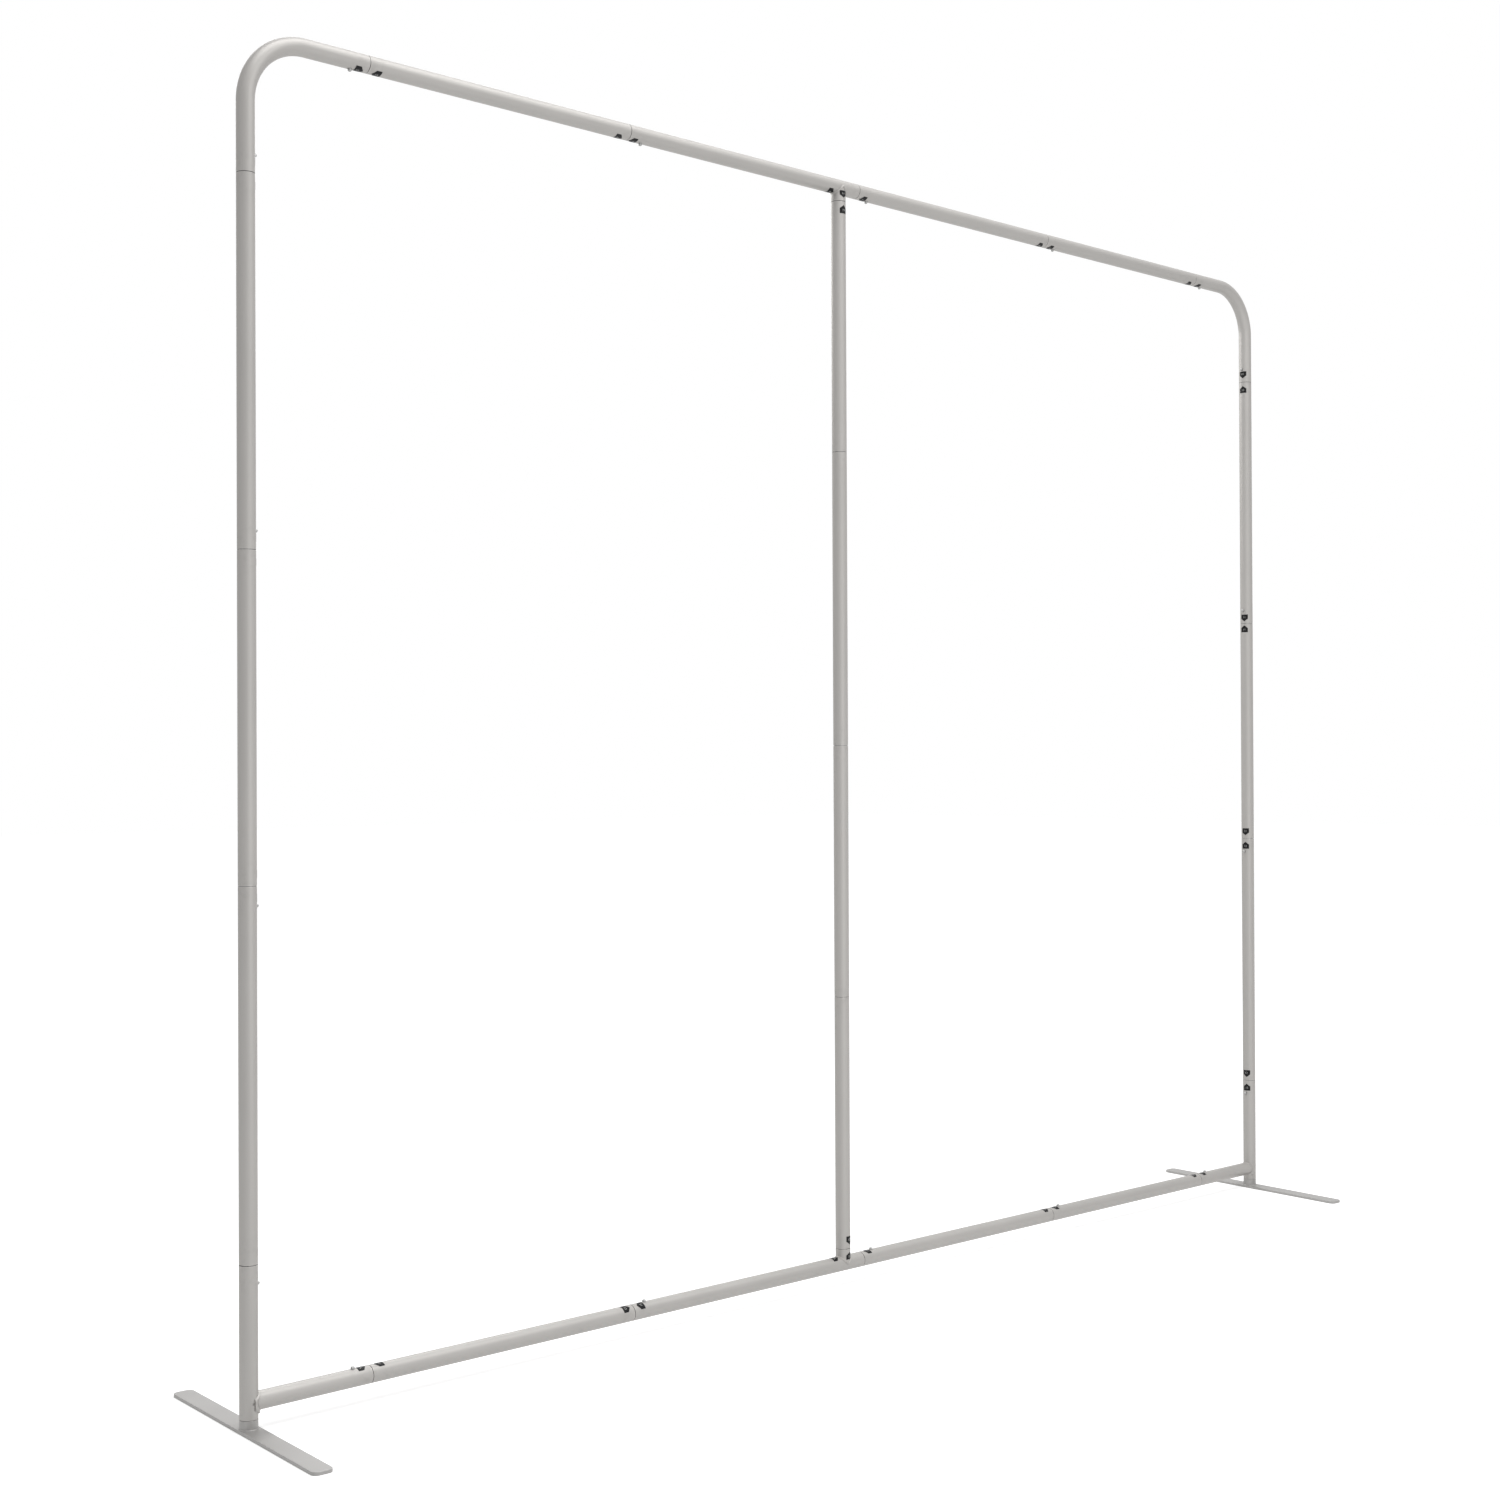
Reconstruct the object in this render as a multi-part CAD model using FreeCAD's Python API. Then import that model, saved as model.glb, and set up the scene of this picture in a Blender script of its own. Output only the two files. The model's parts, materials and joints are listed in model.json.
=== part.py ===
"""Trade show display wall: a free-standing frame of round aluminium tube that packs into short sections.

Millimetres, +Z up, X along the wall, -Y towards the viewer. The origin is on the floor, midway between
the uprights. Sections butt end to end over inner spigots, and a sprung button locks each one.
"""
import FreeCAD, Part
import math
import os
from dataclasses import dataclass

# Tube stock, shared by the uprights, rails and centre post
TUBE_OD = 32.0
TUBE_WALL = 1.5
END_CHAMFER = 0.5
SEAM_GAP = 0.6

# Frame, measured between tube axes
FRAME_WIDTH = 2968.0
RAIL_SPACING = 2330.0
RAIL_HEIGHT = 50.0
CORNER_BEND_RADIUS = 116.0
CORNER_LEG = 240.0
BOTTOM_LEG_RISE = 234.0
END_RAIL_LENGTH = 238.0
UPRIGHT_TUBE_LENGTH = 642.0
OUTER_RAIL_LENGTH = 600.0
COPE_GAP = 0.2
VENT_HOLE_DIAMETER = 4.5

# Saddles that wrap each bottom leg where the end rail is welded to it
SADDLE_THICKNESS = 2.5
SADDLE_LIP_ABOVE = 1.0
SADDLE_LIP_BELOW = 5.5
SADDLE_WING_GAP = 3.0

# Centre post, which stands beside the middle rail seams on two welded stubs
POST_OFFSET = 52.0
STUB_REACH = 33.0
POST_TUBE_LENGTH = 543.0
POST_MIDDLE_SEAM_RISE = 1086.0

# Spigots, the inner sleeves that join two sections
SPIGOT_CLEARANCE = 0.1
SPIGOT_WALL = 1.6
SPIGOT_HELD = 40.0
SPIGOT_REACH = 60.0
SPIGOT_CHAMFER = 0.8
STUB_SPIGOT_CLEARANCE = 0.4

# Snap buttons and the bent strip springs behind them
BUTTON_FROM_SEAM = 34.0
BUTTON_DIAMETER = 7.0
BUTTON_PROUD = 5.0
BUTTON_DOME = 2.2
BUTTON_FLANGE = 1.4
BUTTON_FLANGE_THICKNESS = 1.1
BUTTON_STOP_GAP = 0.12
BUTTON_HOLE_CLEARANCE = 0.3
SPRING_STRIP = 0.8
SPRING_WIDTH = 8.0
SPRING_LENGTH = 40.0
SPRING_BEND_RADIUS = 4.0
SPRING_PAD = 5.0
SPRING_SEAT_GAP = 0.15
SPRING_LEG_GAP = 0.3

# Feet, flat plates with a collar and a round spigot that the uprights turn on
FOOT_LENGTH = 550.0
FOOT_WIDTH = 38.0
FOOT_THICKNESS = 6.0
FOOT_TURN_DEGREES = 4.0
FOOT_CORNER_RADIUS = 11.0
FOOT_EDGE_RADIUS = 1.0
FOOT_COLLAR_HEIGHT = 16.0
FOOT_SEAM_GAP = 0.4
FOOT_SPIGOT_REACH = 70.0
SWIVEL_CLEARANCE = 0.08

# Places that follow from the sizes above
TUBE_RADIUS = TUBE_OD / 2
BORE_RADIUS = TUBE_RADIUS - TUBE_WALL
SPIGOT_RADIUS = BORE_RADIUS - SPIGOT_CLEARANCE
SPIGOT_BORE = SPIGOT_RADIUS - SPIGOT_WALL
BUTTON_RADIUS = BUTTON_DIAMETER / 2
UPRIGHT_X = FRAME_WIDTH / 2
TOP_RAIL_Z = RAIL_HEIGHT + RAIL_SPACING
COLLAR_TOP = FOOT_THICKNESS + FOOT_COLLAR_HEIGHT
LEG_BOTTOM = COLLAR_TOP + FOOT_SEAM_GAP

X_AXIS = FreeCAD.Vector(1, 0, 0)
Y_AXIS = FreeCAD.Vector(0, 1, 0)
Z_AXIS = FreeCAD.Vector(0, 0, 1)
ORIGIN = FreeCAD.Vector(0, 0, 0)


@dataclass
class Seam:
    """A butt joint: where it is, the way its spigot enters the next tube, and the way its button faces."""

    at: FreeCAD.Vector
    into: FreeCAD.Vector
    out: FreeCAD.Vector
    has_button: bool = True
    held: float = SPIGOT_HELD

    def place(self, shape):
        """Put a shape from the seam's own frame (+X into the tube, +Z out of the button) on the frame."""
        return placed(shape, self.at, self.into, self.out)


def placed(shape, origin, along, up):
    """Copy a shape so that its own X axis lies along one direction and its Z axis along another."""
    side = up.cross(along)
    matrix = FreeCAD.Matrix(
        along.x, side.x, up.x, origin.x,
        along.y, side.y, up.y, origin.y,
        along.z, side.z, up.z, origin.z,
        0, 0, 0, 1)
    copy = shape.copy()
    copy.Placement = FreeCAD.Placement(matrix)
    return copy


def across(direction):
    """A direction square to a tube that lies in the frame's plane."""
    return Y_AXIS if abs(direction.dot(Y_AXIS)) < 0.5 else Z_AXIS


def revolved(outline):
    """Turn a closed outline of (x, radius) points about the X axis."""
    points = [FreeCAD.Vector(x, 0, radius) for x, radius in outline]
    face = Part.Face(Part.makePolygon(points + points[:1]))
    return face.revolve(ORIGIN, X_AXIS, 360)


def hollow_tube(length, outer, inner, chamfer):
    """A tube along +X from the origin, with both outer rims broken."""
    return revolved([
        (0, inner), (length, inner), (length, outer - chamfer), (length - chamfer, outer),
        (chamfer, outer), (0, outer - chamfer)])


def section(start, end):
    """One length of frame tube between two points of its axis."""
    run = end - start
    along = FreeCAD.Vector(run).normalize()
    tube = hollow_tube(run.Length, TUBE_RADIUS, BORE_RADIUS, END_CHAMFER)
    return placed(tube, start, along, across(along))


def rod(start, along, radius, length):
    """A plain cylinder, used as a cutter."""
    return Part.makeCylinder(radius, length, start, along)


def button_hole(seam):
    """The cutter for the button's hole through the tube that the spigot enters."""
    centre = seam.at + seam.into * BUTTON_FROM_SEAM
    return rod(centre, seam.out, BUTTON_RADIUS + BUTTON_HOLE_CLEARANCE, TUBE_OD)


def spigot(held, has_button):
    """A sleeve in the seam's frame with a tapered lead, drilled for the button where it has one."""
    lead = SPIGOT_RADIUS - SPIGOT_CHAMFER
    sleeve = revolved([
        (-held, SPIGOT_BORE), (SPIGOT_REACH, SPIGOT_BORE), (SPIGOT_REACH, lead),
        (SPIGOT_REACH - 2 * SPIGOT_CHAMFER, SPIGOT_RADIUS), (-held, SPIGOT_RADIUS)])
    if has_button:
        centre = X_AXIS * BUTTON_FROM_SEAM
        sleeve = sleeve.cut(rod(centre, Z_AXIS, BUTTON_RADIUS + BUTTON_HOLE_CLEARANCE, TUBE_OD))
    return sleeve


def chord_height(radius, half_width):
    """How far from a bore's axis a flat strip of this half width touches the bore."""
    return math.sqrt(radius ** 2 - half_width ** 2)


def strip(points):
    """A spring strip of constant thickness whose underside follows (x, z) points."""
    lower = [FreeCAD.Vector(x, -SPRING_WIDTH / 2, z) for x, z in points]
    upper = [point + Z_AXIS * SPRING_STRIP for point in reversed(lower)]
    face = Part.Face(Part.makePolygon(lower + upper + lower[:1]))
    return face.extrude(Y_AXIS * SPRING_WIDTH)


def snap_button():
    """A domed button with its stop flange, on the free leg of its spring."""
    flange_radius = BUTTON_RADIUS + BUTTON_FLANGE
    flange_top = chord_height(SPIGOT_BORE, flange_radius) - BUTTON_STOP_GAP
    flange_base = flange_top - BUTTON_FLANGE_THICKNESS
    tip = TUBE_RADIUS + BUTTON_PROUD
    shoulder = tip - BUTTON_DOME
    dome_radius = (BUTTON_RADIUS ** 2 + BUTTON_DOME ** 2) / (2 * BUTTON_DOME)
    half_turn = math.asin(min(1.0, BUTTON_RADIUS / dome_radius)) / 2
    dome_middle = FreeCAD.Vector(
        dome_radius * math.sin(half_turn), 0, tip - dome_radius * (1 - math.cos(half_turn)))
    side = [
        FreeCAD.Vector(radius, 0, height)
        for radius, height in (
            (0, flange_base), (flange_radius, flange_base), (flange_radius, flange_top),
            (BUTTON_RADIUS, flange_top), (BUTTON_RADIUS, shoulder))]
    peak = FreeCAD.Vector(0, 0, tip)
    edges = [Part.LineSegment(a, b).toShape() for a, b in zip(side, side[1:])]
    edges.append(Part.Arc(side[-1], dome_middle, peak).toShape())
    edges.append(Part.LineSegment(peak, side[0]).toShape())
    head = Part.Face(Part.Wire(edges)).revolve(ORIGIN, Z_AXIS, 360)
    head.translate(X_AXIS * BUTTON_FROM_SEAM)

    pad_base = flange_base - SPRING_STRIP
    bend_x = BUTTON_FROM_SEAM - SPRING_LENGTH
    leaf = strip([
        (bend_x + SPRING_LEG_GAP, SPRING_BEND_RADIUS - SPRING_STRIP / 2),
        (BUTTON_FROM_SEAM - SPRING_PAD, pad_base), (BUTTON_FROM_SEAM + SPRING_PAD, pad_base)])
    return head.fuse(leaf).removeSplitter()


def spring_heel():
    """The rolled bend of a spring and the leg that rests on the far side of its spigot."""
    bend_x = BUTTON_FROM_SEAM - SPRING_LENGTH
    outer = SPRING_BEND_RADIUS + SPRING_STRIP / 2
    inner = SPRING_BEND_RADIUS - SPRING_STRIP / 2
    start = FreeCAD.Vector(bend_x, -SPRING_WIDTH / 2, 0)
    roll = Part.makeCylinder(outer, SPRING_WIDTH, start, Y_AXIS)
    roll = roll.cut(Part.makeCylinder(inner, SPRING_WIDTH, start, Y_AXIS))
    half = Part.makeBox(
        outer, SPRING_WIDTH, 2 * outer, start - X_AXIS * outer - Z_AXIS * outer)
    seat = -chord_height(SPIGOT_BORE, SPRING_WIDTH / 2) + SPRING_SEAT_GAP
    leg = strip([
        (bend_x, -outer), (BUTTON_FROM_SEAM - SPRING_PAD, seat), (BUTTON_FROM_SEAM + SPRING_PAD, seat)])
    return roll.common(half).fuse(leg).removeSplitter()


def straight_member(names, stations, seams, point_at):
    """Cut a straight run into sections at its stations and drill each for the buttons that lock in it."""
    pieces = {}
    for name, start, end in zip(names, stations, stations[1:]):
        near = point_at(start + SEAM_GAP / 2)
        far = point_at(end - SEAM_GAP / 2)
        along = FreeCAD.Vector(far - near).normalize()
        tube = section(near, far)
        for seam in seams:
            locked_from_near = seam.at.isEqual(point_at(start), SEAM_GAP) and seam.into.dot(along) > 0
            locked_from_far = seam.at.isEqual(point_at(end), SEAM_GAP) and seam.into.dot(along) < 0
            if seam.has_button and (locked_from_near or locked_from_far):
                tube = tube.cut(button_hole(seam))
        pieces[name] = tube
    return pieces


def upright(side):
    """One side's bottom leg and three tubes. Side is -1 for the left upright and 1 for the right one."""
    label = "left" if side < 0 else "right"
    leg_top = RAIL_HEIGHT + BOTTOM_LEG_RISE
    corner_bottom = TOP_RAIL_Z - CORNER_LEG
    stations = [
        LEG_BOTTOM - SEAM_GAP / 2, leg_top, leg_top + UPRIGHT_TUBE_LENGTH,
        corner_bottom - UPRIGHT_TUBE_LENGTH, corner_bottom]
    names = [f"{label}_bottom_leg"] + [f"{label}_{place}_upright" for place in ("lower", "middle", "upper")]

    def point_at(height):
        return FreeCAD.Vector(side * UPRIGHT_X, 0, height)

    inward = X_AXIS * -side
    down = Z_AXIS * -1
    seams = [
        Seam(point_at(height), into, inward)
        for height, into in zip(stations[1:], (down, down, Z_AXIS, Z_AXIS))]
    pieces = straight_member(names, stations, seams, point_at)
    vent = rod(point_at(RAIL_HEIGHT), Y_AXIS * -1, VENT_HOLE_DIAMETER / 2, TUBE_OD)
    pieces[names[0]] = pieces[names[0]].cut(vent)
    seams.reverse()
    return pieces, seams


def rail_stations(end_length):
    """Seams along a rail: the two end pieces, the outer tubes, and the middle of the wall."""
    outer = UPRIGHT_X - end_length
    inner = outer - OUTER_RAIL_LENGTH
    return [-outer, -inner, 0.0, inner, outer]


def rail_seams(stations, point_at, out):
    """Rail seams lock to the right, apart from the first, which locks into the left end piece."""
    ways = [X_AXIS * -1] + [X_AXIS] * (len(stations) - 1)
    return [Seam(point_at(x), way, out) for x, way in zip(stations, ways)]


def rail_names(rail):
    """Node names of a rail's four tubes, from left to right."""
    places = ("left_outer", "left_inner", "right_inner", "right_outer")
    return [f"{rail}_rail_{place}" for place in places]


def top_rail():
    """The four tubes between the top corners."""
    def point_at(x):
        return FreeCAD.Vector(x, 0, TOP_RAIL_Z)

    stations = rail_stations(CORNER_LEG)
    seams = rail_seams(stations, point_at, Z_AXIS * -1)
    return straight_member(rail_names("top"), stations, seams, point_at), seams


def bottom_rail():
    """The four tubes between the uprights, with an end rail coped to each bottom leg."""
    def point_at(x):
        return FreeCAD.Vector(x, 0, RAIL_HEIGHT)

    inner = rail_stations(END_RAIL_LENGTH)
    seams = rail_seams(inner, point_at, Z_AXIS)
    stations = [-UPRIGHT_X] + inner + [UPRIGHT_X]
    names = ["left_end_rail"] + rail_names("bottom") + ["right_end_rail"]
    pieces = straight_member(names, stations, seams, point_at)
    for name, x in (("left_end_rail", -UPRIGHT_X), ("right_end_rail", UPRIGHT_X)):
        leg = rod(FreeCAD.Vector(x, 0, 0), Z_AXIS, TUBE_RADIUS + COPE_GAP, RAIL_HEIGHT + TUBE_OD)
        pieces[name] = pieces[name].cut(leg)
    return pieces, seams


def rail_saddle(side):
    """A thin curved flange round the end of the rail, bent to the leg and longest below the rail."""
    foot = FreeCAD.Vector(side * UPRIGHT_X, 0, 0)
    inward = X_AXIS * -side
    lip_radius = TUBE_RADIUS + (SADDLE_LIP_ABOVE + SADDLE_LIP_BELOW) / 2
    lip_centre = Z_AXIS * (RAIL_HEIGHT + (SADDLE_LIP_ABOVE - SADDLE_LIP_BELOW) / 2)
    outline = rod(foot + lip_centre + inward * SADDLE_WING_GAP, inward, lip_radius, TUBE_OD)
    seat = TUBE_RADIUS + COPE_GAP
    skin = rod(foot, Z_AXIS, seat + SADDLE_THICKNESS, RAIL_HEIGHT + TUBE_OD)
    leg = rod(foot, Z_AXIS, seat, RAIL_HEIGHT + TUBE_OD)
    rail = rod(foot + Z_AXIS * RAIL_HEIGHT, inward, seat, 2 * TUBE_OD)
    return outline.common(skin).cut(leg.fuse(rail))


def centre_post():
    """The post's four tubes between two stubs that are coped to the rails."""
    def point_at(height):
        return FreeCAD.Vector(-POST_OFFSET, 0, height)

    low = RAIL_HEIGHT + STUB_REACH
    high = TOP_RAIL_Z - STUB_REACH
    joints = [
        low, low + POST_TUBE_LENGTH, low + POST_MIDDLE_SEAM_RISE, high - POST_TUBE_LENGTH, high]
    held_in_stub = STUB_REACH - TUBE_RADIUS - STUB_SPIGOT_CLEARANCE
    seams = [Seam(point_at(height), Z_AXIS, X_AXIS) for height in joints[1:-1]]
    stub_seams = [
        Seam(point_at(low), Z_AXIS, X_AXIS, False, held_in_stub),
        Seam(point_at(high), Z_AXIS * -1, X_AXIS, False, held_in_stub)]
    stations = [RAIL_HEIGHT] + joints + [TOP_RAIL_Z]
    names = ["bottom_tee_stub", "post_bottom_tube", "post_lower_tube", "post_long_tube", "post_upper_tube",
             "top_tee_stub"]
    pieces = straight_member(names, stations, seams, point_at)
    for name, height in (("bottom_tee_stub", RAIL_HEIGHT), ("top_tee_stub", TOP_RAIL_Z)):
        start = FreeCAD.Vector(-POST_OFFSET - TUBE_OD, 0, height)
        rail = rod(start, X_AXIS, TUBE_RADIUS + COPE_GAP, 2 * TUBE_OD)
        pieces[name] = pieces[name].cut(rail)
    seams.reverse()
    return pieces, seams, stub_seams


def bent_rod(side, radius, trim):
    """A solid corner: down leg, quarter bend and level leg of one radius."""
    crossing = FreeCAD.Vector(side * UPRIGHT_X, 0, TOP_RAIL_Z)
    inward = X_AXIS * -side
    straight = CORNER_LEG - CORNER_BEND_RADIUS - trim
    leg_start = crossing - Z_AXIS * (CORNER_LEG - trim)
    rail_start = crossing + inward * (CORNER_LEG - trim)
    leg = Part.makeCylinder(radius, straight, leg_start, Z_AXIS)
    rail = Part.makeCylinder(radius, straight, rail_start, inward * -1)
    bend_start = leg_start + Z_AXIS * straight
    bend_centre = bend_start + inward * CORNER_BEND_RADIUS
    circle = Part.Face(Part.Wire(Part.makeCircle(radius, bend_start, Z_AXIS)))
    bend = circle.revolve(bend_centre, Y_AXIS * -side, 90)
    return leg.fuse([bend, rail]).removeSplitter()


def top_corner(side, seams):
    """A bent tube that takes the spigots of the upright and of the top rail."""
    outer = bent_rod(side, TUBE_RADIUS, SEAM_GAP / 2)
    rims = [
        edge for edge in outer.Edges
        if edge.Curve.TypeId == "Part::GeomCircle" and is_end_rim(edge, side)]
    outer = outer.makeChamfer(END_CHAMFER, rims)
    corner = outer.cut(bent_rod(side, BORE_RADIUS, SEAM_GAP / 2))
    for seam in seams:
        corner = corner.cut(button_hole(seam))
    return corner


def is_end_rim(edge, side):
    """Whether a round edge lies in one of the corner's two open ends."""
    centre = edge.Curve.Center
    reach = CORNER_LEG - SEAM_GAP / 2
    at_leg = abs(TOP_RAIL_Z - centre.z - reach) < SEAM_GAP
    at_rail = abs(UPRIGHT_X - side * centre.x - reach) < SEAM_GAP
    return at_leg or at_rail


def foot_plate(side):
    """A flat bar with rounded corners and a broken top edge, set down a little off square to the wall."""
    bar = Part.makeBox(
        FOOT_WIDTH, FOOT_LENGTH, FOOT_THICKNESS, FreeCAD.Vector(-FOOT_WIDTH / 2, -FOOT_LENGTH / 2, 0))
    corners = [edge for edge in bar.Edges if abs(edge.tangentAt(edge.FirstParameter).z) > 0.9]
    bar = bar.makeFillet(FOOT_CORNER_RADIUS, corners)
    rim = [edge for edge in bar.Edges if abs(edge.BoundBox.ZMin - FOOT_THICKNESS) < FOOT_EDGE_RADIUS / 2]
    bar = bar.makeFillet(FOOT_EDGE_RADIUS, rim)
    turn = math.radians(FOOT_TURN_DEGREES)
    across_bar = FreeCAD.Vector(math.cos(turn), -math.sin(turn), 0)
    return placed(bar, FreeCAD.Vector(side * UPRIGHT_X, 0, 0), across_bar, Z_AXIS)


def foot_post(side):
    """A collar of tube diameter on the plate, stepped down to the spigot inside the bottom leg."""
    spigot_radius = BORE_RADIUS - SWIVEL_CLEARANCE
    spigot_top = COLLAR_TOP + FOOT_SPIGOT_REACH
    lead = spigot_radius - SPIGOT_CHAMFER
    post = revolved([
        (FOOT_THICKNESS, SPIGOT_BORE), (spigot_top, SPIGOT_BORE), (spigot_top, lead),
        (spigot_top - 2 * SPIGOT_CHAMFER, spigot_radius), (COLLAR_TOP, spigot_radius),
        (COLLAR_TOP, TUBE_RADIUS - END_CHAMFER), (COLLAR_TOP - END_CHAMFER, TUBE_RADIUS),
        (FOOT_THICKNESS, TUBE_RADIUS)])
    return placed(post, FreeCAD.Vector(side * UPRIGHT_X, 0, 0), Z_AXIS, Y_AXIS)


def build():
    """Every piece of the wall, by node name."""
    nodes = {}
    left_pieces, left_seams = upright(-1)
    right_pieces, right_seams = upright(1)
    top_pieces, top_seams = top_rail()
    bottom_pieces, bottom_seams = bottom_rail()
    post_pieces, post_seams, stub_seams = centre_post()
    for pieces in (left_pieces, right_pieces, top_pieces, bottom_pieces, post_pieces):
        nodes.update(pieces)
    nodes["left_top_corner"] = top_corner(-1, [left_seams[0], top_seams[0]])
    nodes["right_top_corner"] = top_corner(1, [right_seams[0], top_seams[-1]])
    nodes["rail_saddles"] = Part.makeCompound([rail_saddle(-1), rail_saddle(1)])
    for label, side in (("left", -1), ("right", 1)):
        nodes[f"{label}_foot_plate"] = foot_plate(side)
        nodes[f"{label}_foot_post"] = foot_post(side)

    members = {
        "left_upright": left_seams, "right_upright": right_seams, "top_rail": top_seams,
        "bottom_rail": bottom_seams, "post": post_seams}
    button = snap_button()
    heel = spring_heel()
    for member, seams in members.items():
        sleeved = seams + (stub_seams if member == "post" else [])
        nodes[f"{member}_spigots"] = Part.makeCompound(
            [seam.place(spigot(seam.held, seam.has_button)) for seam in sleeved])
        for number, seam in enumerate(seams, 1):
            nodes[f"{member}_button_{number}"] = seam.place(button)

    spring_groups = {
        "upright_button_springs": left_seams + right_seams, "rail_button_springs": top_seams + bottom_seams,
        "post_button_springs": post_seams}
    for name, seams in spring_groups.items():
        nodes[name] = Part.makeCompound([seam.place(heel) for seam in seams])
    return nodes


def main():
    """Build the wall and write one file per piece."""
    os.makedirs("parts", exist_ok=True)
    for name, shape in build().items():
        shape.exportStep(f"parts/{name}.step")
        print(name, len(shape.Solids), "solids", round(shape.Volume), "mm3", shape.isValid())


main()
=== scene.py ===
"""Looks of a trade show display wall: satin tube, plate feet, snap buttons, seam stickers and welds.

Metres, +Z up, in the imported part's own frame: X runs along the wall and -Y faces the viewer.
"""

import json
import logging
import math
import random
from dataclasses import dataclass
from enum import Enum
from typing import Any, Iterable, Mapping, Optional, Sequence, Union

import bpy
from mathutils import Matrix, Vector

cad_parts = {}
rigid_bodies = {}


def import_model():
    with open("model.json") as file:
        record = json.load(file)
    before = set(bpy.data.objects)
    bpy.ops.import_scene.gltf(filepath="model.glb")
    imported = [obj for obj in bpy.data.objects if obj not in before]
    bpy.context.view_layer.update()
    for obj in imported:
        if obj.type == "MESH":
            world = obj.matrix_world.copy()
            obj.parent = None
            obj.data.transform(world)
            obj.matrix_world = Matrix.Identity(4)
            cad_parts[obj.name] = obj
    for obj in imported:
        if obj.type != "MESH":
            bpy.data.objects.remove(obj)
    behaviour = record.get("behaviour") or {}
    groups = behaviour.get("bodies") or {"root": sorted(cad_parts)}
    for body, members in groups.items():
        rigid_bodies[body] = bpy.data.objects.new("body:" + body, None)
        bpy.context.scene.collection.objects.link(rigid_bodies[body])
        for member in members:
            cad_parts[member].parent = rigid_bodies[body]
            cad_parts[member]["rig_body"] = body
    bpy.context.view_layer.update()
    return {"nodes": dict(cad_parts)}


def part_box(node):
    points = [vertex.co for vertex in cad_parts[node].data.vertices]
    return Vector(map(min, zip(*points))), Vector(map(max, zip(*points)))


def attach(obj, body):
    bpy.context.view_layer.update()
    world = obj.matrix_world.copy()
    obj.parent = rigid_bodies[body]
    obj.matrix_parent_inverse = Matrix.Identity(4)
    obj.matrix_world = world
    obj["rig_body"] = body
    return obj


MM = 0.001
FULL_TURN = 2 * math.pi
X_AXIS = Vector((1.0, 0.0, 0.0))
Y_AXIS = Vector((0.0, 1.0, 0.0))
Z_AXIS = Vector((0.0, 0.0, 1.0))

Colour = tuple[float, float, float]
Span = tuple[float, float]
Value = Union["Socket", float]

logger = logging.getLogger("display_wall")


def shaded(colour: Colour, share: float) -> Colour:
    """A colour made darker or lighter by a share."""
    return tuple(share * part for part in colour)


class Socket:
    """A node's output that takes part in Python expressions, each of which adds its Math node."""

    def __init__(self, tree: "NodeTree", output: bpy.types.NodeSocket) -> None:
        """Keep the tree and the output that later nodes link from."""
        self.tree = tree
        self.output = output

    def __add__(self, other: Value) -> "Socket":
        """Sum of two values."""
        return self.tree.math("ADD", self, other)

    __radd__ = __add__

    def __sub__(self, other: Value) -> "Socket":
        """This value less the other."""
        return self.tree.math("SUBTRACT", self, other)

    def __rsub__(self, other: Value) -> "Socket":
        """The other value less this one."""
        return self.tree.math("SUBTRACT", other, self)

    def __mul__(self, other: Value) -> "Socket":
        """Product of two values."""
        return self.tree.math("MULTIPLY", self, other)

    __rmul__ = __mul__

    def __truediv__(self, other: Value) -> "Socket":
        """This value divided by the other."""
        return self.tree.math("DIVIDE", self, other)

    def __abs__(self) -> "Socket":
        """This value without its sign."""
        return self.tree.math("ABSOLUTE", self)

    def at_least(self, floor: Value) -> "Socket":
        """The larger of this value and the floor."""
        return self.tree.math("MAXIMUM", self, floor)

    def at_most(self, ceiling: Value) -> "Socket":
        """The smaller of this value and the ceiling."""
        return self.tree.math("MINIMUM", self, ceiling)

    def centred(self) -> "Socket":
        """A noise value, from 0 to 1, moved to lie about 0."""
        return self - 0.5

    def root(self) -> "Socket":
        """Square root of this value."""
        return self.tree.math("SQRT", self)

    def sine(self) -> "Socket":
        """Sine of this value in radians."""
        return self.tree.math("SINE", self)

    def cosine(self) -> "Socket":
        """Cosine of this value in radians."""
        return self.tree.math("COSINE", self)

    def step(self, low: float, high: float) -> "Socket":
        """A smooth step from 0 at low to 1 at high.

        Args:
            low: Where the step starts.
            high: Where the step ends.

        Returns:
            The stepped value.
        """
        return self.tree.result(
            "ShaderNodeMapRange", {"Value": self, "From Min": low, "From Max": high}, "Result",
            interpolation_type="SMOOTHSTEP")


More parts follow.
